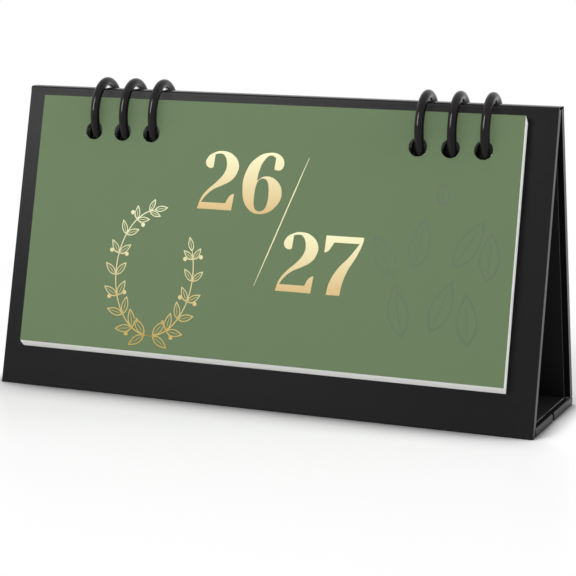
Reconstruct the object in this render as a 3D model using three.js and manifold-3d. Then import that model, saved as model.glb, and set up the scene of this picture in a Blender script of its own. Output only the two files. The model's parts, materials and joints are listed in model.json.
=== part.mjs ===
// A mini desk calendar: a folding tent of paper-covered board with a pad of sheets hung on six wire rings.
// Millimetres. +X runs to the viewer's right, -Y towards the viewer, +Z up.
// The origin is at the middle of the stand, on the desk.
import * as THREE from "three";
import { mergeVertices } from "three/addons/utils/BufferGeometryUtils.js";
import Module from "manifold-3d";

// Stand
const STAND_WIDTH = 165;
const STAND_DEPTH = 44;
const FACE_HEIGHT = 90; // front board along its slope, desk edge to top edge
const BOARD = 1.8; // grey board
const PAPER = 0.2; // covering paper
const LINING = 0.15; // sheet glued over the inside
const GLUE = 0.05; // between one glued layer and the next
const TURN_IN = 16; // covering paper folded in over each end of a board
const TALL_TURN_IN_TOP = 24; // the same at the ridge, past the punched holes
const TALL_TURN_IN_FOOT = 12;
const BASE_TURN_IN = 4;
const LINING_INSET = 1.8; // margin of covering paper left round a lining
const RIDGE_GAP = 0.2; // air between the two linings when the stand is folded flat
const RIDGE_PAPER_LIFT = 0.1;
const RIDGE_CROWN = 0.15;
const BASE_END_GAP = 0.3; // front board to the base's front end
const CREASE = 1.2; // slot between the two halves of the base
const FOOT_GAP = 0.3; // rear board's foot above the base

// Rings
const WIRE_RADIUS = 1.4;
const RING_RADIUS = 9.6; // to the middle of the wire
const RING_TO_RIDGE = 0.2;
const RING_PITCH = 9.5;
const RINGS_IN_GROUP = 3;
const LEFT_GROUP_INSET = 27.55; // left end of the pad to the middle ring of the group
const RIGHT_GROUP_INSET = 20.65; // the same at the pad's right end
const RING_END_GAP = 0.4; // where the two ends of the bent wire meet
const HOLE_RADIUS = 2.7; // in the boards and in the sheets
const HOLE_CLEARANCE = 0.25; // wire to the lower rim of a sheet's hole

// Pad
const MONTH_SHEETS = 12; // behind the cover sheet, printed on both sides
const SHEET_HEIGHT = 74.25;
const SHEET = 0.16;
const SHEET_GAP = 0.05;
const PAD_INSET = 6.65; // left end of the stand to the pad
const PAD_RIGHT_INSET = 8.35; // pad to the right end of the stand
const PAD_STAND_OFF = 0.3; // last sheet to the front board
const HOLE_INSET = 10.05; // top edge of a sheet to the middle of its holes
const HOLE_TO_BEND = 2.1; // from the lowest hole's edge to where the sheets start to bend
const BEND_LENGTH = 1;

// Roundness
const HOLE_SIDES = 16;
const RING_STEPS = 28;
const WIRE_SIDES = 10;

// Worked out from the sizes above
const PANEL = BOARD + 2 * (PAPER + GLUE); // a board with its covering paper
const LINED = PANEL + GLUE + LINING;
const RIDGE_HALF = LINED - PANEL + RIDGE_GAP / 2; // inner face of a board to the mid plane, at the top
const LEAN = leanOfFace();
const TOP_Y = PANEL * Math.cos(LEAN) + RIDGE_HALF; // outer top edge of each tall board
const TOP_Z = FACE_HEIGHT * Math.cos(LEAN);
const REAR_HEIGHT = FACE_HEIGHT - (LINED + FOOT_GAP) / Math.cos(LEAN);
const BASE_FRONT_START = -STAND_DEPTH / 2 + PANEL / Math.cos(LEAN) + LINED * Math.tan(LEAN) + BASE_END_GAP;
const RIDGE_PAPER_TOP = TOP_Z + RIDGE_PAPER_LIFT + PAPER;
const RING_BORE = RING_RADIUS - WIRE_RADIUS - RING_TO_RIDGE;
const RING_Z = RIDGE_PAPER_TOP - Math.sqrt(RING_BORE ** 2 - TOP_Y ** 2);
const SHEET_PITCH = SHEET + SHEET_GAP;
const COVER_BACK = PAD_STAND_OFF + MONTH_SHEETS * SHEET_PITCH;
const BOARD_HOLE_DROP = wireDrop(-LINED / 2, 0);
const BEND_START = sheetHoleDrop(PAD_STAND_OFF) + HOLE_RADIUS + HOLE_TO_BEND;
const PAD_LEFT = -STAND_WIDTH / 2 + PAD_INSET;
const PAD_RIGHT = STAND_WIDTH / 2 - PAD_RIGHT_INSET;
const RING_X = [PAD_LEFT + LEFT_GROUP_INSET, PAD_RIGHT - RIGHT_GROUP_INSET].flatMap((middle) =>
  Array.from({ length: RINGS_IN_GROUP }, (_, i) => middle + (i - (RINGS_IN_GROUP - 1) / 2) * RING_PITCH),
);

// The lean at which the two tall boards meet above the middle of the base.
function leanOfFace() {
  let lean = 0;
  for (let i = 0; i < 20; i++)
    lean = Math.asin((STAND_DEPTH / 2 - PANEL * Math.cos(lean) - RIDGE_HALF) / FACE_HEIGHT);
  return lean;
}

// How far down the slope of a tall board a ring's wire crosses the plane that lies outwards mm before
// the board's face. beside is 0 for the middle of the wire and plus or minus its radius for its edges.
function wireDrop(outwards, beside) {
  const height = TOP_Z - RING_Z;
  const across = TOP_Y * Math.cos(LEAN) + height * Math.sin(LEAN) + outwards;
  const along = height * Math.cos(LEAN) - TOP_Y * Math.sin(LEAN);
  return along + Math.sqrt((RING_RADIUS + beside) ** 2 - across ** 2);
}

// Depth of the holes of a sheet whose back face lies outwards mm before the board. The lower rim of each
// hole just clears the wire, so the sheets behind, which the wire crosses lower, hang a little below those
// in front.
function sheetHoleDrop(outwards) {
  return wireDrop(outwards, WIRE_RADIUS) + HOLE_CLEARANCE - HOLE_RADIUS;
}

const blackPaper = new THREE.MeshStandardMaterial({ color: 0x2b2b2d, roughness: 0.72 });
const greyBoard = new THREE.MeshStandardMaterial({ color: 0x8d877c, roughness: 0.95 });
const liningPaper = new THREE.MeshStandardMaterial({ color: 0x242426, roughness: 0.85 });
const blackEnamel = new THREE.MeshStandardMaterial({ color: 0x1c1b1d, roughness: 0.22, metalness: 0.1 });
const coverPrint = new THREE.MeshStandardMaterial({ color: 0x7f9474, roughness: 0.65 });
const whiteCard = new THREE.MeshStandardMaterial({ color: 0xf1efe9, roughness: 0.8 });

const wasm = await Module();
wasm.setup();

// A geometry as a solid that can be joined and cut.
function solid(geometry) {
  geometry.deleteAttribute("normal");
  geometry.deleteAttribute("uv");
  const merged = mergeVertices(geometry, 1e-4);
  return new wasm.Manifold(
    new wasm.Mesh({
      numProp: 3,
      vertProperties: merged.attributes.position.array,
      triVerts: new Uint32Array(merged.index.array),
    }),
  );
}

function meshOf(name, shape, material) {
  const { vertProperties, triVerts } = shape.getMesh();
  const geometry = new THREE.BufferGeometry();
  geometry.setAttribute("position", new THREE.BufferAttribute(vertProperties, 3));
  geometry.setIndex(new THREE.BufferAttribute(triVerts, 1));
  return named(name, geometry, material);
}

function named(name, geometry, material) {
  geometry.computeVertexNormals();
  const mesh = new THREE.Mesh(geometry, material);
  mesh.name = name;
  return mesh;
}

// A bar along X whose section is given as [y, z] points.
function bar(section, fromX, toX) {
  const shape = new THREE.Shape(section.map(([y, z]) => new THREE.Vector2(y, z)));
  const geometry = new THREE.ExtrudeGeometry(shape, { depth: toX - fromX, bevelEnabled: false });
  const sectionToYZ = new THREE.Matrix4().makeBasis(
    new THREE.Vector3(0, 1, 0),
    new THREE.Vector3(0, 0, 1),
    new THREE.Vector3(1, 0, 0),
  );
  return geometry.applyMatrix4(sectionToYZ).translate(fromX, 0, 0);
}

function block(fromX, toX, fromY, toY, fromZ, toZ) {
  const geometry = new THREE.BoxGeometry(toX - fromX, toY - fromY, toZ - fromZ);
  return geometry.translate((fromX + toX) / 2, (fromY + toY) / 2, (fromZ + toZ) / 2);
}

// One covered board in its own frame: the outer face at y = 0, the inner face at y = PANEL,
// from z = 0 down to z = -length. Its foot is cut level where the board leans.
function coveredBoard(name, sizes) {
  const { length, lean = 0, turnInTop, turnInFoot, liningFoot, holes = [], holeDrop = 0 } = sizes;
  const halfWidth = STAND_WIDTH / 2;
  const footAt = (y) => -length + y * Math.tan(lean);
  const section = (inset) => [
    [inset, -inset],
    [inset, footAt(inset) + inset / Math.cos(lean)],
    [PANEL - inset, footAt(PANEL - inset) + inset / Math.cos(lean)],
    [PANEL - inset, -inset],
  ];
  const punch = (shape) => {
    for (const x of holes) {
      const drill = new THREE.CylinderGeometry(HOLE_RADIUS, HOLE_RADIUS, 4 * LINED, HOLE_SIDES);
      shape = shape.subtract(solid(drill.translate(x, 0, -holeDrop)));
    }
    return shape;
  };

  const coreInset = PAPER + GLUE;
  const core = punch(solid(bar(section(coreInset), -halfWidth + coreInset, halfWidth - coreInset)));

  const windowX = halfWidth - TURN_IN;
  const windowTop = -turnInTop;
  const windowFoot = -length + turnInFoot;
  const cavity = solid(bar(section(PAPER), -halfWidth + PAPER, halfWidth - PAPER));
  const window = solid(block(-windowX, windowX, PANEL / 2, 2 * PANEL, windowFoot, windowTop));
  const wrap = punch(solid(bar(section(0), -halfWidth, halfWidth)).subtract(cavity).subtract(window));

  const liningX = halfWidth - LINING_INSET;
  const sheet = solid(
    block(-liningX, liningX, PANEL + GLUE, LINED, -length + liningFoot, -LINING_INSET),
  );
  const dip = solid(
    block(-windowX + GLUE, windowX - GLUE, PANEL - PAPER, LINED, windowFoot + GLUE, windowTop - GLUE),
  );
  const lining = punch(sheet.add(dip));

  return [
    meshOf(name + "_board", core, greyBoard),
    meshOf(name + "_covering_paper", wrap, blackPaper),
    meshOf(name + "_lining", lining, liningPaper),
  ];
}

// The two tall boards, which meet at the ridge, and the two halves of the base between their feet.
function standBoards() {
  const front = new THREE.Group();
  front.position.set(0, -TOP_Y, TOP_Z);
  front.rotation.x = -LEAN;
  const tall = {
    lean: LEAN,
    turnInTop: TALL_TURN_IN_TOP,
    turnInFoot: TALL_TURN_IN_FOOT,
    holeDrop: BOARD_HOLE_DROP,
  };
  const frontLiningFoot = LINED + LINING_INSET;
  front.add(
    ...coveredBoard("front", { ...tall, length: FACE_HEIGHT, liningFoot: frontLiningFoot, holes: RING_X }),
  );

  const rear = new THREE.Group();
  rear.position.set(0, TOP_Y, TOP_Z);
  rear.rotation.set(LEAN, 0, Math.PI);
  const rearHoles = RING_X.map((x) => -x);
  rear.add(
    ...coveredBoard("rear", { ...tall, length: REAR_HEIGHT, liningFoot: LINING_INSET, holes: rearHoles }),
  );

  const base = { turnInTop: BASE_TURN_IN, turnInFoot: BASE_TURN_IN, liningFoot: LINING_INSET };
  const baseFront = new THREE.Group();
  baseFront.position.y = BASE_FRONT_START;
  baseFront.rotation.x = Math.PI / 2;
  baseFront.add(...coveredBoard("base_front", { ...base, length: -CREASE / 2 - BASE_FRONT_START }));

  const baseRear = new THREE.Group();
  baseRear.position.y = CREASE / 2;
  baseRear.rotation.x = Math.PI / 2;
  baseRear.add(...coveredBoard("base_rear", { ...base, length: (STAND_DEPTH - CREASE) / 2 }));
  return [front, rear, baseFront, baseRear];
}

// The strip of covering paper that bends over the ridge and hinges the two tall boards.
function ridgePaper() {
  const half = TOP_Y;
  const foot = TOP_Z + RIDGE_PAPER_LIFT;
  const crown = (y) => RIDGE_CROWN * (1 - (y / half) ** 2);
  const ys = [-half, -half / 2, 0, half / 2, half];
  const under = ys.map((y) => [y, foot + crown(y)]);
  const over = ys.map((y) => [y, foot + crown(y) + PAPER]).reverse();
  return named("ridge_hinge_paper", bar([...under, ...over], -STAND_WIDTH / 2, STAND_WIDTH / 2), blackPaper);
}

// A ring of thick wire, bent round until its two ends meet, here at the bottom inside the stand.
function wireRing(name, x) {
  const torus = new THREE.TorusGeometry(RING_RADIUS, WIRE_RADIUS, WIRE_SIDES, RING_STEPS);
  torus.rotateY(Math.PI / 2);
  const cut = 2 * WIRE_RADIUS;
  const slot = block(-cut, cut, -RING_END_GAP / 2, RING_END_GAP / 2, -RING_RADIUS - cut, -RING_RADIUS + cut);
  const mesh = meshOf(name, solid(torus).subtract(solid(slot)), blackEnamel);
  mesh.position.set(x, 0, RING_Z);
  return mesh;
}

// A sheet in the front board's frame: a punched strip held by the rings, and the leaf that turns below it.
function sheetPieces(name, index, material) {
  const back = COVER_BACK - index * SHEET_PITCH;
  const holeDrop = sheetHoleDrop(back);
  const top = HOLE_INSET - holeDrop;

  const outline = new THREE.Shape();
  outline.moveTo(PAD_LEFT, -BEND_START);
  outline.lineTo(PAD_RIGHT, -BEND_START);
  outline.lineTo(PAD_RIGHT, top);
  outline.lineTo(PAD_LEFT, top);
  outline.closePath();
  for (const x of RING_X)
    outline.holes.push(new THREE.Path().absarc(x, -holeDrop, HOLE_RADIUS, 0, 2 * Math.PI, true));
  const strip = new THREE.ExtrudeGeometry(outline, {
    depth: SHEET,
    bevelEnabled: false,
    curveSegments: HOLE_SIDES / 2,
  });
  strip.rotateX(Math.PI / 2).translate(0, -back, 0);
  const leafFoot = top - SHEET_HEIGHT;
  const leaf = block(PAD_LEFT, PAD_RIGHT, -back - SHEET, -back, leafFoot, -(BEND_START + BEND_LENGTH));
  return [named(name + "_bound_edge", strip, material), named(name + "_leaf", leaf, material)];
}

function pad() {
  const group = new THREE.Group();
  group.position.set(0, -TOP_Y, TOP_Z);
  group.rotation.x = -LEAN;
  group.add(...sheetPieces("cover_sheet", 0, coverPrint));
  for (let i = 1; i <= MONTH_SHEETS; i++)
    group.add(...sheetPieces("month_sheet_" + String(i).padStart(2, "0"), i, whiteCard));
  return group;
}

const calendar = new THREE.Group();
calendar.name = "mini_desk_calendar";
calendar.add(...standBoards(), ridgePaper(), pad());
RING_X.forEach((x, i) => calendar.add(wireRing("ring_" + (i + 1), x)));

export default calendar;
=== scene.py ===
# A mini desk calendar: a folding tent of paper-covered board with a pad of sheets hung on six wire rings.
# Everything is in metres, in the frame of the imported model.
# Each section makes one piece, or a group of like ones.
import json
import math

import bmesh
import bpy
from mathutils import Matrix, Vector

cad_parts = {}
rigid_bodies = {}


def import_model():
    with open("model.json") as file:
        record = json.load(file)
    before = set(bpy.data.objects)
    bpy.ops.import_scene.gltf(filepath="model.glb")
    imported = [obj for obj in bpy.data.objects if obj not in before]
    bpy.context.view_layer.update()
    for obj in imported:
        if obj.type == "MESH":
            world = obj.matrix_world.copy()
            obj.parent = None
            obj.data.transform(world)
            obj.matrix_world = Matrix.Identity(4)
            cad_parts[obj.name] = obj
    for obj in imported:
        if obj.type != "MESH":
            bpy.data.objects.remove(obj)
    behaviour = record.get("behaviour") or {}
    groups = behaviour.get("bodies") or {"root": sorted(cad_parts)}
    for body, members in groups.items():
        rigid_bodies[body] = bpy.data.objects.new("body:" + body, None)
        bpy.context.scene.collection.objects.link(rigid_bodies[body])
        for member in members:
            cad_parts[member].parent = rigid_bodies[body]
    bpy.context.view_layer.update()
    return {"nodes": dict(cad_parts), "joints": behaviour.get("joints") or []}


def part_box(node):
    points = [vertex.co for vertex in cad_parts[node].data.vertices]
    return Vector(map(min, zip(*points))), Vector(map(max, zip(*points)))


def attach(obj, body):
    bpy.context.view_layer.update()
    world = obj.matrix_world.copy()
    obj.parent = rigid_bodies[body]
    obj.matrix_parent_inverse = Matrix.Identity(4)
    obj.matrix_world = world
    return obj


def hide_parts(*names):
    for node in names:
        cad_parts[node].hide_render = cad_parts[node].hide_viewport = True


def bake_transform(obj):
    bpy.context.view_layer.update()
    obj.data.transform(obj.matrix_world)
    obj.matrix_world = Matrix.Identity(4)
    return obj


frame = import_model()

# The grey boards: stiff pressed boards, two tall ones and the two halves of the base.
# Each is cut from one sheet and wrapped all round, so its grey shows only in the walls of the holes.
MM = 0.001
FACE_HEIGHT = 90 * MM
PANEL = 2.3 * MM  # a board with its covering paper
PAPER = 0.25 * MM  # covering paper and its glue
LINED = 2.5 * MM  # a board with its covering paper and its lining
HOLE_RADIUS = 2.7 * MM
HOLE_SIDES = 56
RINGS = 6
GRAIN_PER_METRE = 1000  # a grain for each millimetre

front_low, front_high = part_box("front_covering_paper")
rear_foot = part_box("rear_covering_paper")[0].z
half_width = front_high.x
lean = math.acos(front_high.z / FACE_HEIGHT)
ridge_y = -front_low.y - FACE_HEIGHT * math.sin(lean)
ridge_z = front_high.z
ring_boxes = [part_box(f"ring_{i + 1}") for i in range(RINGS)]
ring_xs = [(low.x + high.x) / 2 for low, high in ring_boxes]

# The wire passes the tall boards at this depth below the ridge, measured down the slope.
ring_low, ring_high = ring_boxes[0]
ring_z = (ring_low.z + ring_high.z) / 2
RING_OUTER = (ring_high.z - ring_low.z) / 2
WIRE_RADIUS = (ring_high.x - ring_low.x) / 2
RING_RADIUS = RING_OUTER - WIRE_RADIUS
ring_height = ridge_z - ring_z
mid_across = ridge_y * math.cos(lean) + ring_height * math.sin(lean) - LINED / 2
board_hole_drop = (
    ring_height * math.cos(lean) - ridge_y * math.sin(lean) + math.sqrt(RING_RADIUS**2 - mid_across**2)
)

UPRIGHT = Matrix.Rotation(math.pi / 2, 4, "X")
HALF_TURN = Matrix.Rotation(math.pi, 4, "Z")
FRONT = Matrix.Translation((0, -ridge_y, ridge_z)) @ Matrix.Rotation(-lean, 4, "X")
REAR = Matrix.Translation((0, ridge_y, ridge_z)) @ Matrix.Rotation(lean, 4, "X") @ HALF_TURN


def base_half(body):
    """A half of the base: its place, lying with its length towards the rear, and the rest as in BOARDS."""
    low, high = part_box(body + "_covering_paper")
    return Matrix.Translation((0, low.y, 0)) @ UPRIGHT, body, high.y - low.y, 0, False


# name: (its place, body, length along its own slope, lean of its foot, whether it is punched)
BOARDS = {
    "front": (FRONT, "front_panel", FACE_HEIGHT, lean, True),
    "rear": (REAR, "rear_panel", (ridge_z - rear_foot) / math.cos(lean), lean, True),
    "base_front": base_half("base_front"),
    "base_rear": base_half("base_rear"),
}


def ring_holes(name, punched):
    """The middles of a board's holes along its own width. The rear board's own X runs the other way."""
    side = -1 if name == "rear" else 1
    return [side * x for x in ring_xs] if punched else []


def noise_on(tree, coordinates, scale, detail, roughness=0.5, stretch=(1, 1, 1)):
    """Grain, as a value from 0 to 1."""
    mapping = tree.nodes.new("ShaderNodeMapping")
    mapping.inputs["Scale"].default_value = stretch
    tree.links.new(coordinates, mapping.inputs["Vector"])
    noise = tree.nodes.new("ShaderNodeTexNoise")
    noise.inputs["Scale"].default_value = scale
    noise.inputs["Detail"].default_value = detail
    noise.inputs["Roughness"].default_value = roughness
    tree.links.new(mapping.outputs["Vector"], noise.inputs["Vector"])
    return noise.outputs["Fac"]


def ramp_on(tree, value, stops):
    """A colour for each value, from (value, colour) stops."""
    ramp = tree.nodes.new("ShaderNodeValToRGB")
    tree.links.new(value, ramp.inputs["Fac"])
    points = ramp.color_ramp.elements
    while len(points) < len(stops):
        points.new(0.5)
    for point, (at, colour) in zip(points, stops):
        point.position = at
        point.color = (*colour, 1)
    return ramp.outputs["Color"]


def bump_on(tree, height, distance):
    """A surface that rises with the height, by up to the distance."""
    bump = tree.nodes.new("ShaderNodeBump")
    bump.inputs["Distance"].default_value = distance
    tree.links.new(height, bump.inputs["Height"])
    return bump.outputs["Normal"]


def own_place(tree):
    return tree.nodes.new("ShaderNodeTexCoord").outputs["Object"]


def new_finish(name, specular, roughness=0.5):
    material = bpy.data.materials.new(name)
    material.use_nodes = True
    shader = material.node_tree.nodes["Principled BSDF"]
    shader.inputs["Specular IOR Level"].default_value = specular
    shader.inputs["Roughness"].default_value = roughness
    return material, material.node_tree, shader


def grey_board_finish():
    material, tree, shader = new_finish("grey_board_pulp", specular=0.2, roughness=0.95)
    place = own_place(tree)
    pulp = noise_on(tree, place, scale=0.9 * GRAIN_PER_METRE, detail=6, roughness=0.7)
    stops = [(0.3, (0.13, 0.12, 0.105)), (0.5, (0.25, 0.235, 0.21)), (0.72, (0.36, 0.345, 0.31))]
    tree.links.new(ramp_on(tree, pulp, stops), shader.inputs["Base Color"])
    tree.links.new(bump_on(tree, pulp, 0.08 * MM), shader.inputs["Normal"])
    return material


def smooth_by_angle(mesh, degrees):
    mesh.shade_smooth()
    mesh.set_sharp_from_angle(angle=math.radians(degrees))


def in_scene(name, data):
    thing = bpy.data.objects.new(name, data)
    bpy.context.scene.collection.objects.link(thing)
    return thing


def finished(name, mesh, place, materials):
    """A piece that stands in its place, with its materials."""
    mesh.transform(place)
    for material in materials:
        mesh.materials.append(material)
    return in_scene(name, mesh)


def mesh_from(shape, name):
    """A shape that was built point by point, as a mesh."""
    mesh = bpy.data.meshes.new(name)
    shape.to_mesh(mesh)
    shape.free()
    return mesh


def shown_mesh(holder):
    """The mesh that an object shows. The object is removed again."""
    bpy.context.view_layer.update()
    mesh = bpy.data.meshes.new_from_object(holder.evaluated_get(bpy.context.evaluated_depsgraph_get()))
    bpy.data.objects.remove(holder)
    return mesh


def board_mesh(half_x, near, far, top, length, hole_radius, holes, foot_lean=0, rounding=0):
    """A board from its top down to its length, between its near and far faces, punched for the rings."""
    shell = bmesh.new()
    rings = []
    for x in (-half_x, half_x):
        section = [
            (x, near, top),
            (x, near, -length + near * math.tan(foot_lean)),
            (x, far, -length + far * math.tan(foot_lean)),
            (x, far, top),
        ]
        rings.append([shell.verts.new(point) for point in section])
    left, right = rings
    shell.faces.new(left)
    shell.faces.new(reversed(right))
    for i in range(4):
        shell.faces.new((left[(i + 1) % 4], left[i], right[i], right[(i + 1) % 4]))
    bmesh.ops.recalc_face_normals(shell, faces=shell.faces)
    mesh = mesh_from(shell, "board")
    mesh.shade_smooth()
    board = in_scene("board", mesh)

    punches = None
    if holes:
        tool = bmesh.new()
        for x in holes:
            bmesh.ops.create_cone(
                tool,
                cap_ends=True,
                segments=HOLE_SIDES,
                radius1=hole_radius,
                radius2=hole_radius,
                depth=4 * PANEL,
                matrix=Matrix.Translation((x, (near + far) / 2, -board_hole_drop)) @ UPRIGHT,
            )
        punches = in_scene("punches", mesh_from(tool, "punches"))
        cut = board.modifiers.new("punched", "BOOLEAN")
        cut.operation = "DIFFERENCE"
        cut.solver = "EXACT"
        cut.object = punches
    if rounding:
        edge = board.modifiers.new("rounded", "BEVEL")
        edge.width = rounding
        edge.segments = 4
        edge.limit_method = "ANGLE"
        edge.angle_limit = math.radians(40)
        edge.harden_normals = True
    made = shown_mesh(board)
    if punches:
        bpy.data.objects.remove(punches)
    if not rounding:
        smooth_by_angle(made, degrees=50)
    return made


grey_board = grey_board_finish()
for name, (place, body, length, foot_lean, punched) in BOARDS.items():
    core = board_mesh(
        half_x=half_width - PAPER,
        near=PAPER,
        far=PANEL - PAPER,
        top=-PAPER,
        length=length - PAPER,
        hole_radius=HOLE_RADIUS,
        holes=ring_holes(name, punched),
        foot_lean=foot_lean,
    )
    piece = finished(name + "_grey_board", core, place, [grey_board])
    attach(piece, body)
    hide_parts(name + "_board")

# The covering paper: one sheet of fine-grained black paper, glued round all the boards and turned in over
# their ends. Its corners are soft because the paper lies over the boards' edges.
EDGE_ROUNDING = 0.42 * MM
PUNCH_PAPER_RADIUS = 2.74 * MM
REAR_PUNCH_RADIUS = 2.33 * MM
REAR_PUNCH_SHIFT = 0.3 * MM  # the rear holes of the right-hand rings lie this far to the right
FOOT_REACH = 0.22 * MM  # the rear board stands almost on the base


def spread_on(tree, value, low, high):
    """The value, spread out between low and high."""
    spread = tree.nodes.new("ShaderNodeMapRange")
    spread.inputs["To Min"].default_value = low
    spread.inputs["To Max"].default_value = high
    tree.links.new(value, spread.inputs["Value"])
    return spread.outputs["Result"]


def covering_finish():
    material, tree, shader = new_finish("black_covering_paper", specular=0.09)
    place = own_place(tree)
    tooth = noise_on(tree, place, scale=3.2 * GRAIN_PER_METRE, detail=4, roughness=0.65)
    cloudy = noise_on(tree, place, scale=0.035 * GRAIN_PER_METRE, detail=3)
    colour = ramp_on(tree, tooth, [(0.32, (0.0062, 0.0062, 0.0064)), (0.7, (0.0103, 0.0102, 0.0104))])
    tree.links.new(colour, shader.inputs["Base Color"])
    tree.links.new(spread_on(tree, cloudy, 0.22, 0.26), shader.inputs["Roughness"])
    tree.links.new(bump_on(tree, tooth, 0.012 * MM), shader.inputs["Normal"])
    return material


covering = covering_finish()
for name, (place, body, length, foot_lean, punched) in BOARDS.items():
    holes = ring_holes(name, punched)
    if name == "rear":
        holes = [x - REAR_PUNCH_SHIFT if x < 0 else x for x in holes]
    reach = length + FOOT_REACH if name == "rear" else length
    hole_radius = REAR_PUNCH_RADIUS if name == "rear" else PUNCH_PAPER_RADIUS
    wrap = board_mesh(
        half_x=half_width,
        near=0,
        far=PANEL,
        top=0,
        length=reach,
        hole_radius=hole_radius,
        holes=holes,
        foot_lean=foot_lean,
        rounding=EDGE_ROUNDING,
    )
    piece = finished(name + "_wrapped_paper", wrap, place, [covering])
    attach(piece, body)
    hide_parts(name + "_covering_paper")

# The paper hinges: where the covering paper runs on from one board to the next, it is free to bend.
# One strip goes over the ridge, one under the front board's foot, and one down into the slot of the base.
STRIP = 0.2 * MM
RIDGE_WRAP = 1.1 * MM  # how far the ridge strip lies on each outer face
RIDGE_LIFT = 0.34 * MM
RIDGE_ROUND = 0.55 * MM  # length of the strip's bend on either side of a board's top edge
RIDGE_PROUD, RIDGE_WRAP_PROUD, RIDGE_SUNK = 0.03 * MM, 0.02 * MM, 0.12 * MM
CROWN_RISE, CROWN_HALF = 0.11 * MM, 0.9 * MM
RIDGE_BEND_STEPS = 5


def strip_mesh(outer, inner, half_x):
    """A closed strip along X, between an outer and an inner line of (y, z) points."""
    sheet = bmesh.new()
    loop = list(outer) + list(reversed(inner))
    count = len(loop)
    left, right = [[sheet.verts.new((x, y, z)) for y, z in loop] for x in (-half_x, half_x)]
    for i in range(count):
        j = (i + 1) % count
        sheet.faces.new((left[i], left[j], right[j], right[i]))
    for end in (left, right):
        for i in range(len(outer) - 1):
            sheet.faces.new((end[i], end[i + 1], end[count - 2 - i], end[count - 1 - i]))
    bmesh.ops.recalc_face_normals(sheet, faces=sheet.faces)
    mesh = mesh_from(sheet, "strip")
    smooth_by_angle(mesh, degrees=60)
    return mesh


def ridge_lines():
    """The strip's outer and inner lines, from the front face over the ridge to the rear face."""
    def on_face(side, drop, out):
        y = ridge_y + drop * math.sin(lean) + out * math.cos(lean)
        return side * y, ridge_z - drop * math.cos(lean) + out * math.sin(lean)

    def half(side, out, lift):
        edge_y = on_face(side, 0, out)[0]
        start = on_face(side, RIDGE_ROUND, out)
        edge = (edge_y, ridge_z + lift)
        end = (edge_y - side * RIDGE_ROUND, ridge_z + lift)
        points = [on_face(side, RIDGE_WRAP, min(out, RIDGE_WRAP_PROUD)), start]
        for step in range(1, RIDGE_BEND_STEPS + 1):
            u = step / RIDGE_BEND_STEPS
            points.append([
                (1 - u) ** 2 * a + 2 * u * (1 - u) * b + u**2 * c for a, b, c in zip(start, edge, end)
            ])
        return points + [(side * CROWN_HALF, ridge_z + lift + CROWN_RISE)]

    def over_ridge(out, lift):
        return half(-1, out, lift) + list(reversed(half(1, out, lift)))

    return over_ridge(RIDGE_PROUD, RIDGE_LIFT), over_ridge(-RIDGE_SUNK, RIDGE_LIFT - STRIP)


ridge_strip = finished("ridge_paper_hinge", strip_mesh(*ridge_lines(), half_width), Matrix(), [covering])
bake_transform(ridge_strip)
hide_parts("ridge_hinge_paper")

FOOT_STEP, FOOT_ROWS = 0.5 * MM, 10
FOOT_STRIP = 0.12 * MM
FOOT_END_INSET = 0.3 * MM

foot_front = front_low.y
foot_ys = [foot_front + FOOT_STEP * (i + 1) for i in range(FOOT_ROWS)]
foot_outer = [(y, 0) for y in foot_ys]
foot_inner = [(y, FOOT_STRIP) for y in foot_ys]
foot_mesh = strip_mesh(foot_outer, foot_inner, half_width - FOOT_END_INSET)
foot_strip = finished("foot_paper_hinge", foot_mesh, Matrix(), [covering])
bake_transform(foot_strip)

CREASE_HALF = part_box("base_rear_covering_paper")[0].y
CREASE_DIP = 1.1 * MM
CREASE_LAP = 0.9 * MM  # how far the strip lies on each half of the base
CREASE_STRIP = 0.12 * MM
CREASE_END_INSET = 0.45 * MM
on_base = PANEL + 0.02 * MM
into_crease = [
    (-CREASE_HALF - CREASE_LAP, on_base),
    (-CREASE_HALF - 0.1 * MM, on_base),
    (-0.6 * CREASE_HALF, PANEL - 0.45 * MM),
    (-0.25 * CREASE_HALF, PANEL - 0.9 * CREASE_DIP),
]
crease_outer = into_crease + [(0, PANEL - CREASE_DIP)] + [(-y, z) for y, z in reversed(into_crease)]
crease_inner = [(y, z - CREASE_STRIP) for y, z in crease_outer]
crease_mesh = strip_mesh(crease_outer, crease_inner, half_width - CREASE_END_INSET)
crease_strip = finished("crease_paper_hinge", crease_mesh, Matrix(), [covering])
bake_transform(crease_strip)

# The linings: a smoother black sheet glued over the inside of each board, a little smaller than the board.
# It is cut from paper that is pale inside, so its cut edge shows as a thin light line.
LINING_INSET = 1.8 * MM
LINING_JOIN = 0.1 * MM  # where the linings of two boards meet in a corner
LINING_SUNK = 0.02 * MM  # how far it is pressed into the covering paper
LINING_FOOT_MARGINS = {
    "front": LINED + LINING_JOIN,
    "rear": LINING_JOIN,
    "base_front": LINING_JOIN,
    "base_rear": LINING_INSET,
}


def lining_finish():
    material, tree, shader = new_finish("black_lining_sheet", specular=0.3)
    place = own_place(tree)
    tooth = noise_on(tree, place, scale=2.2 * GRAIN_PER_METRE, detail=3, roughness=0.6)
    colour = ramp_on(tree, tooth, [(0.3, (0.0042, 0.0042, 0.0044)), (0.7, (0.007, 0.007, 0.0072))])
    tree.links.new(colour, shader.inputs["Base Color"])
    tree.links.new(spread_on(tree, tooth, 0.5, 0.62), shader.inputs["Roughness"])
    tree.links.new(bump_on(tree, tooth, 0.008 * MM), shader.inputs["Normal"])
    return material


def cut_edge_finish():
    material, tree, shader = new_finish("lining_cut_edge", specular=0.3, roughness=0.8)
    place = own_place(tree)
    fibres = noise_on(tree, place, scale=2.5 * GRAIN_PER_METRE, detail=3, roughness=0.6)
    colour = ramp_on(tree, fibres, [(0.3, (0.11, 0.11, 0.11)), (0.7, (0.19, 0.19, 0.187))])
    tree.links.new(colour, shader.inputs["Base Color"])
    return material


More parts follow.
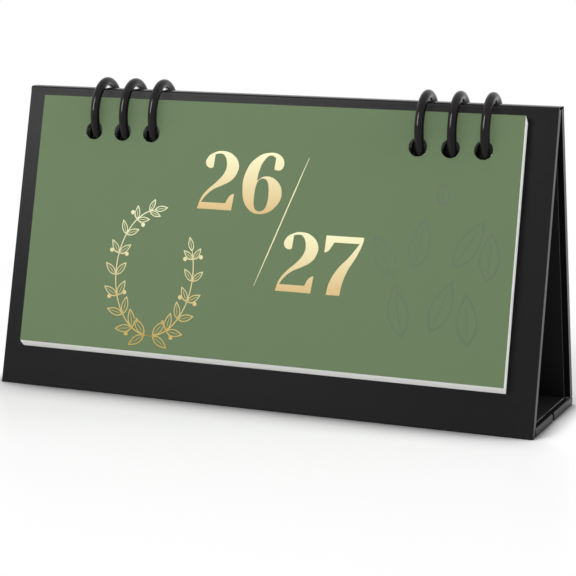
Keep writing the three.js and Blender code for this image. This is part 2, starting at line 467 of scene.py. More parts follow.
def cut_ends_paler(sheet):
    """Gives the left and right ends of a lining the second material."""
    for face in sheet.polygons:
        at_end = abs(face.center.x) > half_width - 1.1 * LINING_INSET
        face.material_index = 1 if at_end and abs(face.normal.x) > 0.5 else 0


lining_black, lining_edge = lining_finish(), cut_edge_finish()
for name, (place, body, length, foot_lean, punched) in BOARDS.items():
    top_margin = LINING_INSET if punched else LINING_JOIN
    sheet = board_mesh(
        half_x=half_width - LINING_INSET,
        near=PANEL - LINING_SUNK,
        far=LINED,
        top=-top_margin,
        length=length - LINING_FOOT_MARGINS[name],
        hole_radius=PUNCH_PAPER_RADIUS,
        holes=ring_holes(name, punched),
    )
    cut_ends_paler(sheet)
    piece = finished(name + "_lining_sheet", sheet, place, [lining_black, lining_edge])
    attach(piece, body)
    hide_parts(name + "_lining")

# The strip of lining across the crease of the base: the same black sheet, which joins the base's halves.
# In the stand it is glued to both and closes up when the base folds; here it is one fixed piece, joined to
# neither half.
BRIDGE_HALF = 2.4 * MM
BRIDGE_STEPS = 6  # from the crease to either side
BRIDGE_PROUD, BRIDGE_SUNK = 0.01 * MM, 0.14 * MM
bridge_ys = [BRIDGE_HALF * i / BRIDGE_STEPS for i in range(-BRIDGE_STEPS, BRIDGE_STEPS + 1)]
bridge_top = [(y, LINED + BRIDGE_PROUD) for y in bridge_ys]
bridge_under = [(y, LINED - BRIDGE_SUNK) for y in bridge_ys]
bridge_mesh = strip_mesh(bridge_top, bridge_under, half_width - LINING_INSET)
cut_ends_paler(bridge_mesh)
bridge = finished("crease_lining_strip", bridge_mesh, Matrix(), [lining_black, lining_edge])
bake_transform(bridge)

# The month sheets: a pad of white uncoated card, die cut and punched with six holes near the top.
# Each sheet bends just below the holes when it is lifted, so its punched edge stays on the rings.
SHEET = 0.16 * MM
HOLE_INSET = 10.05 * MM  # from a sheet's top edge to the middle of its holes
BEND_ABOVE, BEND_BELOW = 2.4 * MM, 3.0 * MM  # how far a sheet bends above and below the line it turns about
BEND_ROWS = 22
CUT_TOLERANCE = 0.0001 * MM
MONTHS = 12

bend_axis = next(j for j in frame["joints"] if j["name"] == "cover_turn")["pos_m"]
bend_drop = -(FRONT.inverted() @ Vector(bend_axis)).z


def sheet_box(name):
    """A sheet's left, right, top, foot and back in the front board's own frame."""
    to_board = FRONT.inverted()
    points = []
    for node in (name + "_bound_edge", name + "_leaf"):
        points += [to_board @ v.co for v in frame["nodes"][node].data.vertices]
    xs, ys, zs = zip(*points)
    return min(xs), max(xs), max(zs), min(zs), max(ys)


def flat_shape(name, loops, thickness):
    """A flat shape with holes, from loops of (x, y, handle) points, as a thin mesh that lies on z = 0."""
    curve = bpy.data.curves.new(name, "CURVE")
    curve.dimensions = "2D"
    curve.fill_mode = "BOTH"
    curve.extrude = thickness / 2
    curve.resolution_u = 12
    for loop in loops:
        spline = curve.splines.new("BEZIER")
        spline.bezier_points.add(len(loop) - 1)
        for point, (x, y, handle) in zip(spline.bezier_points, loop):
            point.co = (x, y, 0)
            point.handle_left_type = point.handle_right_type = handle
        spline.use_cyclic_u = True
    mesh = shown_mesh(in_scene(name, curve))
    bpy.data.curves.remove(curve)
    mesh.materials.clear()
    return mesh


def corners(left, right, foot, top):
    return [(left, foot, "VECTOR"), (right, foot, "VECTOR"), (right, top, "VECTOR"), (left, top, "VECTOR")]


def round_loop(x, y, radius, count=8):
    turns = [2 * math.pi * i / count for i in range(count)]
    return [(x + radius * math.cos(a), y + radius * math.sin(a), "AUTO") for a in turns]


def rows_for_bend(mesh, out):
    """Cuts the mesh across where the sheets bend, stands it up against the front board, out from its face,
    and gives it a map in metres, so that what is printed keeps its place when the sheet turns."""
    while mesh.uv_layers:
        mesh.uv_layers.remove(mesh.uv_layers[0])
    flat = bmesh.new()
    flat.from_mesh(mesh)
    top = -bend_drop + BEND_ABOVE
    for i in range(BEND_ROWS + 1):
        y = top - (BEND_ABOVE + BEND_BELOW) * i / BEND_ROWS
        bmesh.ops.bisect_plane(
            flat,
            geom=flat.verts[:] + flat.edges[:] + flat.faces[:],
            dist=CUT_TOLERANCE,
            plane_co=(0, y, 0),
            plane_no=(0, 1, 0),
        )
    layer = flat.loops.layers.uv.new("flat")
    for face in flat.faces:
        for corner in face.loops:
            corner[layer].uv = (corner.vert.co.x, corner.vert.co.y)
    flat.to_mesh(mesh)
    flat.free()
    mesh.transform(Matrix.Translation((0, -out, 0)) @ UPRIGHT)
    smooth_by_angle(mesh, degrees=40)
    return mesh


def bends_with(piece):
    """Bakes the piece's place into its mesh; it is not joined to the front board or to a leaf."""
    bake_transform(piece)


def long_loop(x, low_y, high_y, radius):
    """A punched hole whose upper half is drawn up to high_y, so that the holes of the pad line up."""
    loop = round_loop(x, low_y, radius, 12)
    above = low_y + 0.01 * radius
    return [(x, y + high_y - low_y if y > above else y, handle) for x, y, handle in loop]


# Painted shade: the walls of the card's punched holes are coloured near black, for the shade inside the
# holes.
def rubbed_edge_finish():
    material, tree, shader = new_finish("painted_shade_hole_wall", specular=0.2, roughness=0.8)
    place = own_place(tree)
    shade_mottle = noise_on(tree, place, scale=1.5 * GRAIN_PER_METRE, detail=3, roughness=0.6)
    colour = ramp_on(tree, shade_mottle, [(0.3, (0.007, 0.007, 0.007)), (0.75, (0.018, 0.018, 0.017))])
    tree.links.new(colour, shader.inputs["Base Color"])
    return material


def holes_rubbed(mesh, hole_y):
    """Gives the walls of a sheet's holes the second material, a painted shade. The mesh stands against the
    front board.
    """
    for face in mesh.polygons:
        level = abs(face.center.z - hole_y) < 2 * HOLE_RADIUS
        beside = any(abs(face.center.x - x) < 1.2 * HOLE_RADIUS for x in ring_xs)
        if level and beside and abs(face.normal.y) < 0.5:
            face.material_index = 1


def flat_map(tree):
    return tree.nodes.new("ShaderNodeUVMap").outputs["UV"]


def card_finish():
    material, tree, shader = new_finish("white_uncoated_card", specular=0.25, roughness=0.78)
    flat = flat_map(tree)
    fibres = noise_on(tree, flat, scale=1.6 * GRAIN_PER_METRE, detail=5, roughness=0.7, stretch=(1, 2.5, 1))
    colour = ramp_on(tree, fibres, [(0.25, (0.80, 0.795, 0.775)), (0.75, (0.87, 0.865, 0.85))])
    tree.links.new(colour, shader.inputs["Base Color"])
    tree.links.new(bump_on(tree, fibres, 0.006 * MM), shader.inputs["Normal"])
    return material


card, hole_wall_shade = card_finish(), rubbed_edge_finish()
cover_left, cover_right, cover_top, cover_foot, cover_back = sheet_box("cover_sheet")
cover_hole_y = cover_top - HOLE_INSET
for i in range(1, MONTHS + 1):
    name = f"month_sheet_{i:02d}"
    left, right, top, foot, back = sheet_box(name)
    hole_y = top - HOLE_INSET
    loops = [corners(left, right, foot, top)]
    loops += [long_loop(x, hole_y, cover_hole_y, HOLE_RADIUS) for x in ring_xs]
    mesh = rows_for_bend(flat_shape(name, loops, SHEET), SHEET / 2 - back)
    # The walls of the holes get the near-black painted shade.
    holes_rubbed(mesh, hole_y)
    piece = finished(name, mesh, FRONT, [card, hole_wall_shade])
    bends_with(piece)
    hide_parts(name + "_bound_edge", name + "_leaf")

# The print on the month sheets: on each face a large month number and a ruled grid of plain day numbers.
# The ink lies on the part of the sheet that turns.
DAYS_IN_MONTH = [31, 28, 31, 30, 31, 30, 31, 31, 30, 31, 30, 31]
DAY_COLUMNS, DAY_ROWS = 7, 6
GRID_LEFT, GRID_RIGHT, GRID_TOP, GRID_FOOT = 34 * MM, 8 * MM, 26.5 * MM, 73 * MM
RULE = 0.14 * MM
DAY_SIZE, MONTH_SIZE = 4.2 * MM, 17 * MM
MONTH_DROP = 8 * MM  # from the top of the grid to the middle of the month number
INK_LIFT = 0.008 * MM
FIRST_COLUMN = 3  # of day 1 in the first month


def month_ink_finish():
    material, tree, shader = new_finish("grey_green_ink", specular=0.25, roughness=0.7)
    place = own_place(tree)
    speckle = noise_on(tree, place, scale=2.0 * GRAIN_PER_METRE, detail=3, roughness=0.6)
    colour = ramp_on(tree, speckle, [(0.3, (0.032, 0.045, 0.026)), (0.7, (0.05, 0.066, 0.042))])
    tree.links.new(colour, shader.inputs["Base Color"])
    return material


def number_mesh(number, size):
    """A plain number as flat faces, its middle at the origin."""
    curve = bpy.data.curves.new("number", "FONT")
    curve.body = str(number)
    curve.size = size
    curve.align_x, curve.align_y = "CENTER", "CENTER"
    curve.resolution_u = 2
    mesh = shown_mesh(in_scene("number", curve))
    bpy.data.curves.remove(curve)
    return mesh


day_numbers = [number_mesh(day, DAY_SIZE) for day in range(1, max(DAYS_IN_MONTH) + 1)]


def month_page(month, first_column, left, right):
    """A month's page as flat faces, between a sheet's left and right ends, measured down from the ridge."""
    page = bmesh.new()

    def put(mesh, x, y):
        start = len(page.verts)
        page.from_mesh(mesh)
        page.verts.ensure_lookup_table()
        bmesh.ops.translate(page, verts=page.verts[start:], vec=(x, y, 0))

    def rule(x0, x1, y):
        low, high = y - RULE / 2, y + RULE / 2
        outline = ((x0, low), (x1, low), (x1, high), (x0, high))
        page.faces.new([page.verts.new((x, height, 0)) for x, height in outline])

    grid_left, grid_right = left + GRID_LEFT, right - GRID_RIGHT
    column = (grid_right - grid_left) / DAY_COLUMNS
    row = (GRID_FOOT - GRID_TOP) / DAY_ROWS
    for i in range(DAY_ROWS + 1):
        rule(grid_left, grid_right, -GRID_TOP - i * row)
    for day in range(DAYS_IN_MONTH[month - 1]):
        down, along = divmod(first_column + day, DAY_COLUMNS)
        put(day_numbers[day], grid_left + (along + 0.5) * column, -GRID_TOP - (down + 0.5) * row)
    big = number_mesh(month, MONTH_SIZE)
    put(big, left + GRID_LEFT / 2, -GRID_TOP - MONTH_DROP)
    bpy.data.meshes.remove(big)
    return mesh_from(page, "page")


month_ink = month_ink_finish()
first_column = FIRST_COLUMN
for i in range(1, MONTHS + 1):
    name = f"month_sheet_{i:02d}"
    left, right, _, _, back = sheet_box(name)
    on_front = Matrix.Translation((0, back - SHEET - INK_LIFT, 0)) @ UPRIGHT
    on_back = Matrix.Translation((left + right, back + INK_LIFT, 0)) @ HALF_TURN @ UPRIGHT
    both_faces = bmesh.new()
    for stand, later in ((on_front, 0), (on_back, 1)):
        page = month_page(i, (first_column + later) % DAY_COLUMNS, left, right)
        page.transform(stand)
        both_faces.from_mesh(page)
        bpy.data.meshes.remove(page)
    piece = finished(name + "_print", mesh_from(both_faces, name + "_print"), FRONT, [month_ink])
    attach(piece, f"month_leaf_{i:02d}")
    first_column = (first_column + DAYS_IN_MONTH[i - 1]) % DAY_COLUMNS

# The cover sheet: the same card, printed sage green on its front, with the two years in gold print.
# Its outer edges and back stay white; the walls of its holes get the painted shade.
SAGE = (0.133, 0.1925, 0.1)


def cover_finish():
    material, tree, shader = new_finish("sage_green_print", specular=0.12, roughness=0.6)
    flat = flat_map(tree)
    fibres = noise_on(tree, flat, scale=2.4 * GRAIN_PER_METRE, detail=4, roughness=0.6)
    low = tuple(c * 0.985 for c in SAGE)
    high = tuple(c * 1.015 for c in SAGE)
    tree.links.new(ramp_on(tree, fibres, [(0.3, low), (0.7, high)]), shader.inputs["Base Color"])
    tree.links.new(bump_on(tree, fibres, 0.004 * MM), shader.inputs["Normal"])
    return material


loops = [corners(cover_left, cover_right, cover_foot, cover_top)]
loops += [round_loop(x, cover_hole_y, HOLE_RADIUS) for x in ring_xs]
mesh = rows_for_bend(flat_shape("cover_sheet", loops, SHEET), SHEET / 2 - cover_back)
# The walls of the cover's holes get the near-black painted shade.
holes_rubbed(mesh, cover_hole_y)
for face in mesh.polygons:
    if face.material_index == 0 and face.normal.y >= -0.5:
        face.material_index = 2
cover = finished("cover_sheet", mesh, FRONT, [cover_finish(), hole_wall_shade, card])
bends_with(cover)
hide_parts("cover_sheet_bound_edge", "cover_sheet_leaf")

# The print on the cover: two plain year numbers with a thin slash between them, in gold ink that is pale at
# the top and deepens downwards. The ink lies on the card.
INK = 0.012 * MM
COVER_INK_LIFT = 0.002 * MM
CAP_HEIGHT = 17.1 * MM
UPPER_FOOT, LOWER_FOOT = -33.9 * MM, -55.8 * MM
UPPER_TWO_X, UPPER_SIX_X = -21.74 * MM, -7.9 * MM
LOWER_TWO_X, LOWER_SEVEN_X = 5.01 * MM, 19.03 * MM
SIX_WIDER, SEVEN_WIDER = 1.05, 1.04
SLASH = [(11.97, -17.42), (8.5, -27.0), (1.7, -45.8), (-1.64, -55.04)]  # in millimetres, from its top down
SLASH_WIDTH = 0.34 * MM
SLASH_FADE_TOP, SLASH_FADE_FOOT = -17 * MM, -55 * MM
CREAM, TAN_GOLD = (0.86, 0.83, 0.51), (0.635, 0.44, 0.184)
SLASH_CREAM, SLASH_GOLD = (0.84, 0.79, 0.5), (0.75, 0.69, 0.405)

# The figures' outlines, in shares of the height of a figure, from their left end and their foot line
CORNER = "VECTOR"
CURVED = "AUTO"
FIGURE_TWO = [
    (0, 0, CORNER), (0.064, 0.193), (0.177, 0.338), (0.336, 0.485), (0.45, 0.63), (0.484, 0.768),
    (0.405, 0.945), (0.325, 0.955), (0.257, 0.94, CORNER), (0.239, 0.717, CORNER), (0.177, 0.70),
    (0.093, 0.775), (0.12, 0.88), (0.21, 0.955), (0.38, 1.0), (0.586, 0.945), (0.705, 0.785),
    (0.69, 0.65), (0.61, 0.525), (0.45, 0.425), (0.268, 0.336), (0.132, 0.213), (0.064, 0.114, CORNER),
    (0.518, 0.117, CORNER), (0.575, 0.23), (0.62, 0.27), (0.666, 0.285, CORNER), (0.636, 0, CORNER),
]
FIGURE_SIX = [
    (0, 0.402), (0.039, 0.679), (0.175, 0.893), (0.425, 1.013), (0.618, 0.97), (0.686, 0.85),
    (0.652, 0.745), (0.584, 0.722), (0.523, 0.736, CORNER), (0.539, 0.93, CORNER), (0.448, 0.969),
    (0.334, 0.87), (0.266, 0.695), (0.239, 0.529, CORNER), (0.38, 0.611), (0.584, 0.547),
    (0.682, 0.372), (0.63, 0.152), (0.334, -0.028), (0.107, 0.07),
]
SIX_COUNTER = [(0.345, 0.573), (0.459, 0.368), (0.318, 0.016), (0.216, 0.305)]
FIGURE_SEVEN = [
    (0.015, 0.976, CORNER), (0.651, 0.98, CORNER), (0.64, 0.9), (0.553, 0.672), (0.41, 0.398),
    (0.344, 0.196), (0.316, 0, CORNER), (0.086, 0, CORNER), (0.125, 0.202), (0.235, 0.418),
    (0.432, 0.652), (0.586, 0.872, CORNER), (0.158, 0.869, CORNER), (0.11, 0.782), (0.06, 0.717),
    (0, 0.692, CORNER),
]


def ink_finish(name, upper, lower, upper_colour, lower_colour):
    """Ink that fades from one colour to another between two heights of the cover's flat map."""
    material, tree, shader = new_finish(name, specular=0.35, roughness=0.42)
    flat = flat_map(tree)
    parts = tree.nodes.new("ShaderNodeSeparateXYZ")
    tree.links.new(flat, parts.inputs["Vector"])
    height = tree.nodes.new("ShaderNodeMapRange")
    height.inputs["From Min"].default_value = lower
    height.inputs["From Max"].default_value = upper
    tree.links.new(parts.outputs["Y"], height.inputs["Value"])
    colour = ramp_on(tree, height.outputs["Result"], [(0, lower_colour), (1, upper_colour)])
    tree.links.new(colour, shader.inputs["Base Color"])
    flecks = noise_on(tree, flat, scale=3 * GRAIN_PER_METRE, detail=3, roughness=0.6)
    tree.links.new(bump_on(tree, flecks, 0.003 * MM), shader.inputs["Normal"])
    return material


def placed_figure(points, x, foot_y, widen=1):
    """A figure's outline in metres on the cover's flat map."""
    loop = []
    for point in points:
        handle = point[2] if len(point) == 3 else CURVED
        loop.append((x + point[0] * CAP_HEIGHT * widen, foot_y + point[1] * CAP_HEIGHT, handle))
    return loop


def thin_line(points, width):
    """A line of even width through (x, y) points, tapered to a point at both ends."""
    left, right = [], []
    for i, (x, y) in enumerate(points):
        before, after = points[max(i - 1, 0)], points[min(i + 1, len(points) - 1)]
        along = Vector((after[0] - before[0], after[1] - before[1])).normalized()
        reach = width / 2 if 0 < i < len(points) - 1 else width / 6
        left.append((x - along.y * reach, y + along.x * reach, CORNER))
        right.append((x + along.y * reach, y - along.x * reach, CORNER))
    return left + list(reversed(right))


def printed(name, shapes, ink):
    """One piece of flat ink on the cover, from shapes that are each a list of loops."""
    gathered = bmesh.new()
    for loops in shapes:
        flat = flat_shape(name, loops, INK)
        gathered.from_mesh(flat)
        bpy.data.meshes.remove(flat)
    out = SHEET - cover_back + COVER_INK_LIFT + INK / 2
    piece = finished(name, rows_for_bend(mesh_from(gathered, name), out), FRONT, [ink])
    bends_with(piece)


upper_two = placed_figure(FIGURE_TWO, UPPER_TWO_X, UPPER_FOOT)
upper_six = placed_figure(FIGURE_SIX, UPPER_SIX_X, UPPER_FOOT, SIX_WIDER)
six_counter = placed_figure(SIX_COUNTER, UPPER_SIX_X, UPPER_FOOT, SIX_WIDER)
upper_ink = ink_finish("upper_number_ink", UPPER_FOOT + CAP_HEIGHT, UPPER_FOOT, CREAM, TAN_GOLD)
printed("upper_number", [[upper_two], [upper_six, six_counter]], upper_ink)
lower_two = placed_figure(FIGURE_TWO, LOWER_TWO_X, LOWER_FOOT)
lower_seven = placed_figure(FIGURE_SEVEN, LOWER_SEVEN_X, LOWER_FOOT, SEVEN_WIDER)
lower_ink = ink_finish("lower_number_ink", LOWER_FOOT + CAP_HEIGHT, LOWER_FOOT, CREAM, TAN_GOLD)
printed("lower_number", [[lower_two], [lower_seven]], lower_ink)
slash = thin_line([(x * MM, y * MM) for x, y in SLASH], SLASH_WIDTH)
slash_ink = ink_finish("slash_ink", SLASH_FADE_TOP, SLASH_FADE_FOOT, SLASH_CREAM, SLASH_GOLD)
printed("number_slash", [[slash]], slash_ink)

# The leaf print: an open wreath of outlined leaves and berries in thin gold lines, and on the right a few
# large leaves in a green only a shade darker than the card.
WREATH_X, WREATH_Y = -33.5 * MM, -53.5 * MM
WREATH_HALF_WIDTH, WREATH_HALF_HEIGHT = 12.5 * MM, 18.5 * MM
WREATH_TOP, WREATH_FOOT = -31 * MM, -76 * MM
LEFT_ARM = (-84, -262, 9)  # the angles where it starts and ends, in degrees, and its pairs of leaves
RIGHT_ARM = (-96, 22, 6)
LEAF_LENGTH, LEAF_WIDTH = 6.0 * MM, 2.3 * MM
TIP_LENGTH, TIP_WIDTH = 4.4 * MM, 1.7 * MM
LEAF_SPREAD, TWIG_SPREAD = math.radians(42), math.radians(78)
TWIG, BERRY_RADIUS = 2.6 * MM, 0.62 * MM
LEAVES_SHRINK = 0.35  # the last leaves of an arm are smaller by nearly this share
STEM_STEPS = 40
LINE = 0.24 * MM
PALE_LEAF_GOLD, DEEP_LEAF_GOLD = (0.81, 0.83, 0.55), (0.535, 0.345, 0.042)

# One side of a leaf from its foot to its tip, in shares of its length and of half its width
LEAF_SIDE = [(0, 0), (0.22, 0.78), (0.5, 1), (0.78, 0.62), (1, 0)]


def leaf_shape(x, y, heading, length, width, line):
    """A pointed leaf in outline, as an outer and an inner loop, and its mid vein as a shape of its own."""
    def almond(start, end, half):
        loop = []
        for share, side in LEAF_SIDE + [(share, -side) for share, side in reversed(LEAF_SIDE[1:-1])]:
            along, beside = start + (end - start) * share, half * side
            loop.append((
                x + along * math.cos(heading) - beside * math.sin(heading),
                y + along * math.sin(heading) + beside * math.cos(heading),
                CORNER if side == 0 else CURVED,
            ))
        return loop

    def on_vein(share):
        return x + length * share * math.cos(heading), y + length * share * math.sin(heading)

    outline = [almond(0, length, width / 2), almond(2 * line, length - 2.4 * line, width / 2 - line)]
    return [outline, [thin_line([on_vein(0.12), on_vein(0.45), on_vein(0.8)], 0.7 * line)]]


def wreath_arm(start, end, count):
    """One arm of the wreath between two angles: its stem, its leaves to both sides and its berries."""
    way = 1 if end > start else -1

    def at(a):
        return WREATH_X + WREATH_HALF_WIDTH * math.cos(a), WREATH_Y + WREATH_HALF_HEIGHT * math.sin(a)

    def run_at(a):
        return math.atan2(way * WREATH_HALF_HEIGHT * math.cos(a), -way * WREATH_HALF_WIDTH * math.sin(a))

    stem = [at(start + (end - start) * i / STEM_STEPS) for i in range(STEM_STEPS + 1)]
    shapes = [[thin_line(stem, 1.3 * LINE)]]
    for i in range(count):
        a = start + (end - start) * (i + 0.6) / count
        x, y = at(a)
        size = 1 - LEAVES_SHRINK * i / count
        for side in (-1, 1):
            heading = run_at(a) + side * LEAF_SPREAD
            shapes += leaf_shape(x, y, heading, LEAF_LENGTH * size, LEAF_WIDTH * size, LINE)
        if i % 2:
            for side in (-1, 1):
                twig = run_at(a) + side * TWIG_SPREAD
                end_x, end_y = x + TWIG * math.cos(twig), y + TWIG * math.sin(twig)
                middle = ((x + end_x) / 2, (y + end_y) / 2)
                shapes.append([thin_line([(x, y), middle, (end_x, end_y)], 0.7 * LINE)])
                shapes.append([round_loop(end_x, end_y, BERRY_RADIUS, 6)])
    return shapes + leaf_shape(*at(end), run_at(end), TIP_LENGTH, TIP_WIDTH, LINE)


wreath = []
for start, end, count in (LEFT_ARM, RIGHT_ARM):
    wreath += wreath_arm(math.radians(start), math.radians(end), count)
wreath_ink = ink_finish("wreath_ink", WREATH_TOP, WREATH_FOOT, PALE_LEAF_GOLD, DEEP_LEAF_GOLD)
printed("leaf_wreath", wreath, wreath_ink)

FAINT_LINE = 0.5 * MM
FAINT_TOP, FAINT_FOOT = -20 * MM, -75 * MM
FAINT_UPPER, FAINT_LOWER = (0.0904, 0.1317, 0.067), (0.095, 0.1386, 0.0705)
# Each leaf's foot (x, y) in millimetres, heading in degrees, length and width in millimetres
FAINT_LEAVES = [
    (44, -66, 104, 15, 6), (52, -64, 70, 16, 6), (40, -50, 118, 14, 6), (46, -47, 82, 15, 6),
    (57, -46, 60, 16, 6), (53, -29, 98, 7, 4), (63, -67, 96, 15, 6), (67, -49, 88, 14, 6),
]
faint_green = ink_finish("faint_green_ink", FAINT_TOP, FAINT_FOOT, FAINT_UPPER, FAINT_LOWER)
faint_shapes = []
for x, y, heading, length, width in FAINT_LEAVES:
    faint_shapes += leaf_shape(x * MM, y * MM, math.radians(heading), length * MM, width * MM, FAINT_LINE)
printed("faint_leaves", faint_shapes, faint_green)

# The wire rings: thick steel wire with glossy black enamel, bent round until its ends meet inside the tent.
# Each ring passes through both tall boards and every sheet.
RING_STEPS = 120
WIRE_SIDES = 28
END_GAP = 0.4 * MM
END_THICKNESS = 0.82  # the cut ends are a little rounded
RING_TURNS = [6, 6, 6, 4.5, 4.5, 4.5]  # degrees that each ring hangs askew in its holes


def enamel_finish():
    material, tree, shader = new_finish("black_wire_enamel", specular=0.14)
    place = own_place(tree)
    flow = noise_on(tree, place, scale=0.25 * GRAIN_PER_METRE, detail=2)
    colour = ramp_on(tree, flow, [(0.35, (0.005, 0.004, 0.0044)), (0.65, (0.007, 0.0056, 0.0062))])
    tree.links.new(colour, shader.inputs["Base Color"])
    tree.links.new(spread_on(tree, flow, 0.12, 0.17), shader.inputs["Roughness"])
    tree.links.new(bump_on(tree, flow, 0.01 * MM), shader.inputs["Normal"])
    return material


def ring_mesh():
    wire = bmesh.new()
    half_gap = END_GAP / 2 / RING_RADIUS
    start, end = -math.pi / 2 + half_gap, 3 * math.pi / 2 - half_gap
    loops = []
    for step in range(RING_STEPS + 1):
        turn = start + (end - start) * step / RING_STEPS
        thickness = WIRE_RADIUS * (END_THICKNESS if step in (0, RING_STEPS) else 1)
        loop = []
        for side in range(WIRE_SIDES):
            a = 2 * math.pi * side / WIRE_SIDES
            reach = RING_RADIUS + thickness * math.cos(a)
            point = (thickness * math.sin(a), reach * math.cos(turn), reach * math.sin(turn))
            loop.append(wire.verts.new(point))
        loops.append(loop)
    for a, b in zip(loops, loops[1:]):
        for i in range(WIRE_SIDES):
            j = (i + 1) % WIRE_SIDES
            wire.faces.new((a[i], a[j], b[j], b[i]))
    wire.faces.new(loops[0])
    wire.faces.new(loops[-1])
    bmesh.ops.recalc_face_normals(wire, faces=wire.faces)
    mesh = mesh_from(wire, "ring")
    smooth_by_angle(mesh, degrees=50)
    return mesh


enamel = enamel_finish()
rings = bpy.data.collections.new("rings")
for i, x in enumerate(ring_xs):
    place = Matrix.Translation((x, 0, ring_z)) @ Matrix.Rotation(math.radians(RING_TURNS[i]), 4, "Z")
    ring = finished(f"wire_ring_{i + 1}", ring_mesh(), place, [enamel])
    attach(ring, f"ring_{i + 1}")
    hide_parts(f"ring_{i + 1}")
    rings.objects.link(ring)

# The floor: a sheet of white paper under the stand, which takes the lamps' shadows and a faint reflection.
# It runs out into the white room at the sides and in front.
# Its colour is darkened with a painted contact shadow where the stand nearly touches it.
FLOOR_RADIUS = 6.0
FLOOR_DROP = 0.05 * MM
FLOOR_SHINE, FLOOR_GLOSS_ROUGHNESS = 0.05, 0.2
FLOOR_BOUNCE = (0.8, 0.8, 0.8, 1)  # the colour that lights the object from below
NEAR_SHADOW = 20 * MM
# Painted shade: greys of the floor's colour, from where the stand touches the floor to where nothing is
# near
FLOOR_SHADES = [(0.0, 0.02), (0.48, 0.12), (0.62, 0.5), (0.8, 0.77), (0.93, 0.84), (1.0, 0.87)]
# From these edges outwards the floor fades into the room's even white, which fades its shadows out.
SIDE_EDGE, FRONT_EDGE = half_width + 0.3 * MM, 22 * MM
SIDE_FADE, FRONT_FADE = 7 * MM, 150 * MM
SIDE_FADE_SPREAD = 0.9  # how much wider the side's fade gets for each length in front of the stand


def result_of(tree, node, values):
    """A node's result, after its sockets get their values: each is a number or another node's output."""
    for socket, value in zip(node.inputs, values):
        if isinstance(value, (int, float)):
            socket.default_value = value
        else:
            tree.links.new(value, socket)
    return node.outputs[0]


def reckon_on(tree, operation, *values):
    node = tree.nodes.new("ShaderNodeMath")
    node.operation = operation
    return result_of(tree, node, values)


def mix_on(tree, share, first, second):
    return result_of(tree, tree.nodes.new("ShaderNodeMixShader"), (share, first, second))


def background_rays(tree):
    """1 for a ray that shows the white room: from the camera, or mirrored or let through by a piece."""
    rays = tree.nodes.new("ShaderNodeLightPath").outputs
    mirrored_or_through = reckon_on(tree, "MAXIMUM", rays["Is Glossy Ray"], rays["Is Transmission Ray"])
    return reckon_on(tree, "MAXIMUM", rays["Is Camera Ray"], mirrored_or_through)


def floor_finish():
    """White paper whose colour is darkened with painted shade where the stand nearly touches it, and runs
    out into the white room.
    """
    material = bpy.data.materials.new("pale_floor")
    material.use_nodes = True
    tree = material.node_tree
    tree.nodes.clear()
    # Painted shade: an occlusion node darkens the floor's colour near the stand.
    nearness = tree.nodes.new("ShaderNodeAmbientOcclusion")
    nearness.samples = 12
    nearness.inputs["Distance"].default_value = NEAR_SHADOW
    shade = ramp_on(tree, nearness.outputs["AO"], [(at, (grey, grey, grey)) for at, grey in FLOOR_SHADES])
    paint = tree.nodes.new("ShaderNodeBsdfDiffuse")
    tree.links.new(shade, paint.inputs["Color"])
    shine = tree.nodes.new("ShaderNodeBsdfGlossy")
    shine.inputs["Roughness"].default_value = FLOOR_GLOSS_ROUGHNESS
    surface = mix_on(tree, FLOOR_SHINE, paint.outputs[0], shine.outputs[0])
    white = tree.nodes.new("ShaderNodeEmission")
    parts = tree.nodes.new("ShaderNodeSeparateXYZ")
    tree.links.new(own_place(tree), parts.inputs["Vector"])

    def beyond(axis, edge):
        """How far a place on the floor lies past the stand's edge, in metres."""
        outwards = reckon_on(tree, "ABSOLUTE", parts.outputs[axis])
        return reckon_on(tree, "MAXIMUM", reckon_on(tree, "SUBTRACT", outwards, edge), 0)

    def fade_over(distance, whole):
        fade = tree.nodes.new("ShaderNodeMapRange")
        fade.interpolation_type = "SMOOTHSTEP"
        fade.inputs["From Max"].default_value = whole
        tree.links.new(distance, fade.inputs["Value"])
        return fade.outputs["Result"]

    aside, ahead = beyond("X", SIDE_EDGE), beyond("Y", FRONT_EDGE)
    side_fade = reckon_on(tree, "MULTIPLY_ADD", ahead, SIDE_FADE_SPREAD, SIDE_FADE)
    sideways = fade_over(reckon_on(tree, "DIVIDE", aside, side_fade), 1)
    far = reckon_on(tree, "MAXIMUM", sideways, fade_over(ahead, FRONT_FADE))
    plain = tree.nodes.new("ShaderNodeBsdfDiffuse")
    plain.inputs["Color"].default_value = FLOOR_BOUNCE
    shown = mix_on(tree, far, surface, white.outputs[0])
    out = tree.nodes.new("ShaderNodeOutputMaterial")
    tree.links.new(mix_on(tree, background_rays(tree), plain.outputs[0], shown), out.inputs["Surface"])
    return material


ground = bmesh.new()
bmesh.ops.create_circle(ground, cap_ends=True, segments=96, radius=FLOOR_RADIUS)
floor_place = Matrix.Translation((0, 0, -FLOOR_DROP))
floor = finished("floor", mesh_from(ground, "floor"), floor_place, [floor_finish()])

# The room: white where it is seen, straight or mirrored in a piece, and greyer as the light that falls
# on the object and the floor.
ROOM_GREY, ROOM_WHITE = 0.24, 1
world = bpy.data.worlds.new("white_room")
bpy.context.scene.world = world
world.use_nodes = True
tree = world.node_tree
tree.nodes.clear()


def wall_light(tree, strength):
    wall = tree.nodes.new("ShaderNodeBackground")
    wall.inputs["Color"].default_value = (1, 1, 1, 1)
    wall.inputs["Strength"].default_value = strength
    return wall.outputs[0]


world_out = tree.nodes.new("ShaderNodeOutputWorld")
walls = wall_light(tree, ROOM_GREY), wall_light(tree, ROOM_WHITE)
tree.links.new(mix_on(tree, background_rays(tree), *walls), world_out.inputs["Surface"])


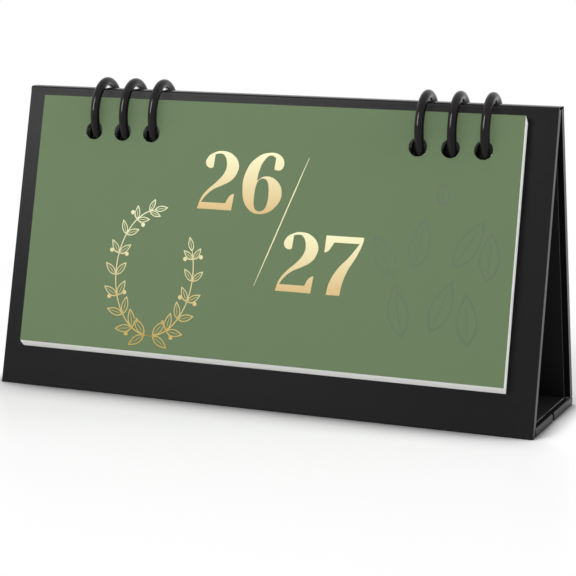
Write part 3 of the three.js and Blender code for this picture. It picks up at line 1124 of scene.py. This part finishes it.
# The lamps: a window at the left, a strip light beside it for the rings, and three soft panels.
# Their places and sizes are in metres.
def lamp(name, place, aim, width, height, brightness, reflected=False):
    """A flat lamp, turned to its aim. Its brightness is its power for each square metre, over pi."""
    light = bpy.data.lights.new(name, "AREA")
    light.shape = "RECTANGLE"
    light.size, light.size_y = width, height
    light.energy = brightness * math.pi * width * height
    holder = in_scene(name, light)
    holder.location = place
    holder.rotation_euler = (Vector(aim) - Vector(place)).to_track_quat("-Z", "Y").to_euler()
    holder.visible_glossy = reflected
    return holder


# The window is mirrored in the black paper and the enamel. The rings throw no shadow from it on the cover.
window = lamp(
    "left_window",
    place=(-0.48, -0.83, 0.58),
    aim=(0, 0, 0.05),
    width=0.42,
    height=0.62,
    brightness=8.2,
    reflected=True,
)
window.light_linking.blocker_collection = rings
for linked in rings.collection_objects:
    linked.light_linking.link_state = "EXCLUDE"
lamp("front_panel", place=(0.15, -1.5, 0.9), aim=(0, 0, 0.045), width=1.2, height=1.0, brightness=0.2)
lamp("right_panel", place=(0.95, 0.1, 0.4), aim=(0.07, 0, 0.04), width=0.6, height=0.6, brightness=7.5)
lamp("overhead", place=(0.0, -0.1, 1.2), aim=(0, 0, 0), width=0.9, height=0.9, brightness=1.95)

# A narrow strip light for the rings alone gives the enamel its bright line.
lit_rings = bpy.data.collections.new("lit_rings")
for ring in rings.objects:
    lit_rings.objects.link(ring)
strip = lamp(
    "ring_strip",
    place=(-0.5, -0.8, 0.62),
    aim=(0, 0, 0.08),
    width=0.17,
    height=0.7,
    brightness=30,
    reflected=True,
)
strip.light_linking.receiver_collection = lit_rings

# The camera: it stands where the photograph was taken from, with the same angle and framing.
# These come from a fit to the corners of the stand and the pad.
FRAME_PIXELS = 576
FOCAL_PIXELS = 1868.478
AXIS_ROW = 180
AZIMUTH, ELEVATION, ROLL = math.radians(22.5182), math.radians(7.196), math.radians(0.4475)
DISTANCE = 545.1756 * MM
AIM = Vector((1.5874 * MM, 0, 63.534 * MM))
SENSOR_WIDTH = 36
NEAREST, FARTHEST = 10 * MM, 50
to_camera = Vector((
    math.sin(AZIMUTH) * math.cos(ELEVATION),
    -math.cos(AZIMUTH) * math.cos(ELEVATION),
    math.sin(ELEVATION),
))
across = Vector((math.cos(AZIMUTH), math.sin(AZIMUTH), 0))
upward = to_camera.cross(across)
rolled_across = across * math.cos(ROLL) + upward * math.sin(ROLL)
rolled_upward = upward * math.cos(ROLL) - across * math.sin(ROLL)
lens = bpy.data.cameras.new("camera")
lens.sensor_width = SENSOR_WIDTH
lens.lens = FOCAL_PIXELS / FRAME_PIXELS * SENSOR_WIDTH
lens.shift_y = (AXIS_ROW - FRAME_PIXELS / 2) / FRAME_PIXELS
lens.clip_start, lens.clip_end = NEAREST, FARTHEST
camera = in_scene("camera", lens)
turn = Matrix((rolled_across, rolled_upward, to_camera)).transposed().to_4x4()
camera.matrix_world = Matrix.Translation(AIM + to_camera * DISTANCE) @ turn
bpy.context.scene.camera = camera
bpy.context.scene.view_settings.view_transform = "Standard"

bpy.context.view_layer.update()
